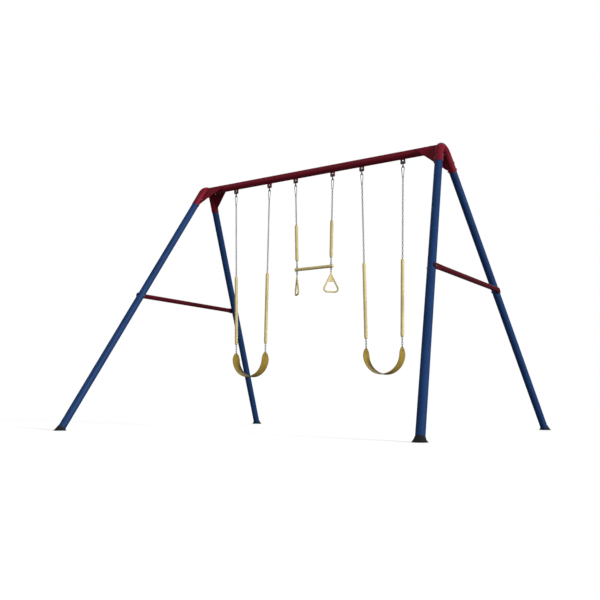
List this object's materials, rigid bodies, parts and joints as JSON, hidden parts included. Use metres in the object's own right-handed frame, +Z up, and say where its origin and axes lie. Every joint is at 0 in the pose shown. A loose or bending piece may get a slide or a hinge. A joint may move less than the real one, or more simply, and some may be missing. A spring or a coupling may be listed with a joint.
{
  "type": "swing set",
  "caption": "A-frame garden swing set: braced tube end frames and a round top beam carry belt swings on chains and a trapeze bar with ring handles.",
  "frame": {"origin": "on the ground, midway between the four feet", "axes": "+X along the top beam to the right-hand frame, +Y from front to rear, +Z up"},
  "size_m": [4.292, 3.732, 3.0436],
  "materials": {
    "red_paint": "satin dark red powder coat",
    "blue_paint": "satin navy-blue powder coat",
    "boot_rubber": "matt black moulded rubber",
    "bushing_nylon": "matt black nylon",
    "grip_vinyl": "soft pale-yellow vinyl, satin",
    "belt_rubber": "matt mustard-yellow rubber with a fine pebble grain",
    "bar_coating": "pale-yellow vinyl coating, satin",
    "bar_cap_plastic": "pale-yellow moulded plastic",
    "ring_plastic": "pale-yellow moulded plastic, fine texture",
    "chain_zinc": "bright zinc plate",
    "clip_zinc": "bright zinc plate",
    "pendulum_zinc": "zinc plate",
    "eye_zinc": "zinc plate",
    "plate_steel": "zinc-plated sheet steel",
    "bolt_zinc": "zinc-plated fasteners"
  },
  "bodies": {
    "frame": {"top_beam": "red_paint", "left_corner_bracket": "red_paint", "right_corner_bracket": "red_paint", "left_front_leg": "blue_paint", "left_rear_leg": "blue_paint", "right_front_leg": "blue_paint", "right_rear_leg": "blue_paint", "left_front_foot": "boot_rubber", "left_rear_foot": "boot_rubber", "right_front_foot": "boot_rubber", "right_rear_foot": "boot_rubber", "left_cross_brace": "red_paint", "right_cross_brace": "red_paint", "leg_bolts": "bolt_zinc", "beam_bolts": "bolt_zinc", "brace_bolts": "bolt_zinc", "frame_nuts": "bolt_zinc", "hanger_brackets": "red_paint", "pivot_bolts": "bolt_zinc", "pivot_nuts": "bolt_zinc", "pivot_bushings": "bushing_nylon"},
    "left_swing": {"left_swing_pendulums": "pendulum_zinc", "left_swing_clips": "clip_zinc", "left_swing_gate_pins": "clip_zinc", "left_swing_chains": "chain_zinc", "left_swing_grip_chains": "chain_zinc", "left_swing_grips": "grip_vinyl"},
    "left_seat": {"left_swing_belt": "belt_rubber", "left_swing_end_plates": "plate_steel", "left_swing_rivets": "plate_steel"},
    "left_swing_left_gate": {"left_swing_left_gate": "clip_zinc"},
    "left_swing_right_gate": {"left_swing_right_gate": "clip_zinc"},
    "right_swing": {"right_swing_pendulums": "pendulum_zinc", "right_swing_clips": "clip_zinc", "right_swing_gate_pins": "clip_zinc", "right_swing_chains": "chain_zinc", "right_swing_grip_chains": "chain_zinc", "right_swing_grips": "grip_vinyl"},
    "right_seat": {"right_swing_belt": "belt_rubber", "right_swing_end_plates": "plate_steel", "right_swing_rivets": "plate_steel"},
    "right_swing_left_gate": {"right_swing_left_gate": "clip_zinc"},
    "right_swing_right_gate": {"right_swing_right_gate": "clip_zinc"},
    "trapeze": {"trapeze_pendulums": "pendulum_zinc", "trapeze_clips": "clip_zinc", "trapeze_gate_pins": "clip_zinc", "trapeze_chains": "chain_zinc", "trapeze_grip_chains": "chain_zinc", "trapeze_grips": "grip_vinyl"},
    "trapeze_bar_set": {"trapeze_bar": "bar_coating", "trapeze_bar_caps": "bar_cap_plastic", "trapeze_eye_bolts": "eye_zinc", "trapeze_eye_nuts": "eye_zinc"},
    "trapeze_left_gate": {"trapeze_left_gate": "clip_zinc"},
    "trapeze_right_gate": {"trapeze_right_gate": "clip_zinc"},
    "left_ring_link": {"left_ring_link": "chain_zinc"},
    "left_ring": {"left_ring_handle": "ring_plastic"},
    "right_ring_link": {"right_ring_link": "chain_zinc"},
    "right_ring": {"right_ring_handle": "ring_plastic"}
  },
  "joints": [
    {"name": "left_swing_pivot", "type": "hinge", "parent": "frame", "child": "left_swing", "pos_m": [-0.8875, 0, 2.9095], "axis": [1, 0, 0], "range_deg": [-60, 60]},
    {"name": "left_seat_tilt", "type": "hinge", "parent": "left_swing", "child": "left_seat", "pos_m": [-0.8875, 0, 0.91468], "axis": [1, 0, 0], "range_deg": [-45, 45]},
    {"name": "left_swing_left_gate_spring", "type": "hinge", "parent": "left_swing", "child": "left_swing_left_gate", "pos_m": [-1.14749, 0, 2.75941], "axis": [0, 1, 0], "range_deg": [0, 12], "stiffness_Nm_per_rad": 0.06, "springref_deg": -17.19},
    {"name": "left_swing_right_gate_spring", "type": "hinge", "parent": "left_swing", "child": "left_swing_right_gate", "pos_m": [-0.62752, 0, 2.75941], "axis": [0, -1, 0], "range_deg": [0, 12], "stiffness_Nm_per_rad": 0.06, "springref_deg": -17.19},
    {"name": "right_swing_pivot", "type": "hinge", "parent": "frame", "child": "right_swing", "pos_m": [0.8875, 0, 2.9095], "axis": [1, 0, 0], "range_deg": [-60, 60]},
    {"name": "right_seat_tilt", "type": "hinge", "parent": "right_swing", "child": "right_seat", "pos_m": [0.8875, 0, 0.91468], "axis": [1, 0, 0], "range_deg": [-45, 45]},
    {"name": "right_swing_left_gate_spring", "type": "hinge", "parent": "right_swing", "child": "right_swing_left_gate", "pos_m": [0.62752, 0, 2.75941], "axis": [0, 1, 0], "range_deg": [0, 12], "stiffness_Nm_per_rad": 0.06, "springref_deg": -17.19},
    {"name": "right_swing_right_gate_spring", "type": "hinge", "parent": "right_swing", "child": "right_swing_right_gate", "pos_m": [1.14749, 0, 2.75941], "axis": [0, -1, 0], "range_deg": [0, 12], "stiffness_Nm_per_rad": 0.06, "springref_deg": -17.19},
    {"name": "trapeze_pivot", "type": "hinge", "parent": "frame", "child": "trapeze", "pos_m": [0, 0, 2.9095], "axis": [1, 0, 0], "range_deg": [-60, 60]},
    {"name": "trapeze_bar_tilt", "type": "hinge", "parent": "trapeze", "child": "trapeze_bar_set", "pos_m": [0, 0, 1.89068], "axis": [1, 0, 0], "range_deg": [-45, 45]},
    {"name": "trapeze_left_gate_spring", "type": "hinge", "parent": "trapeze", "child": "trapeze_left_gate", "pos_m": [-0.25952, 0, 2.75939], "axis": [0, 1, 0], "range_deg": [0, 12], "stiffness_Nm_per_rad": 0.06, "springref_deg": -17.19},
    {"name": "trapeze_right_gate_spring", "type": "hinge", "parent": "trapeze", "child": "trapeze_right_gate", "pos_m": [0.25952, 0, 2.75939], "axis": [0, -1, 0], "range_deg": [0, 12], "stiffness_Nm_per_rad": 0.06, "springref_deg": -17.19},
    {"name": "left_ring_swing", "type": "hinge", "parent": "trapeze_bar_set", "child": "left_ring_link", "pos_m": [-0.23, 0, 1.80368], "axis": [1, 0, 0], "range_deg": [-45, 45]},
    {"name": "left_ring_twist", "type": "hinge", "parent": "left_ring_link", "child": "left_ring", "pos_m": [-0.23, 0, 1.77588], "axis": [0, 0, 1], "range_deg": [-3, 45]},
    {"name": "right_ring_swing", "type": "hinge", "parent": "trapeze_bar_set", "child": "right_ring_link", "pos_m": [0.23, 0, 1.80368], "axis": [1, 0, 0], "range_deg": [-45, 45]},
    {"name": "right_ring_twist", "type": "hinge", "parent": "right_ring_link", "child": "right_ring", "pos_m": [0.23, 0, 1.77588], "axis": [0, 0, 1], "range_deg": [-45, 3]}
  ]
}
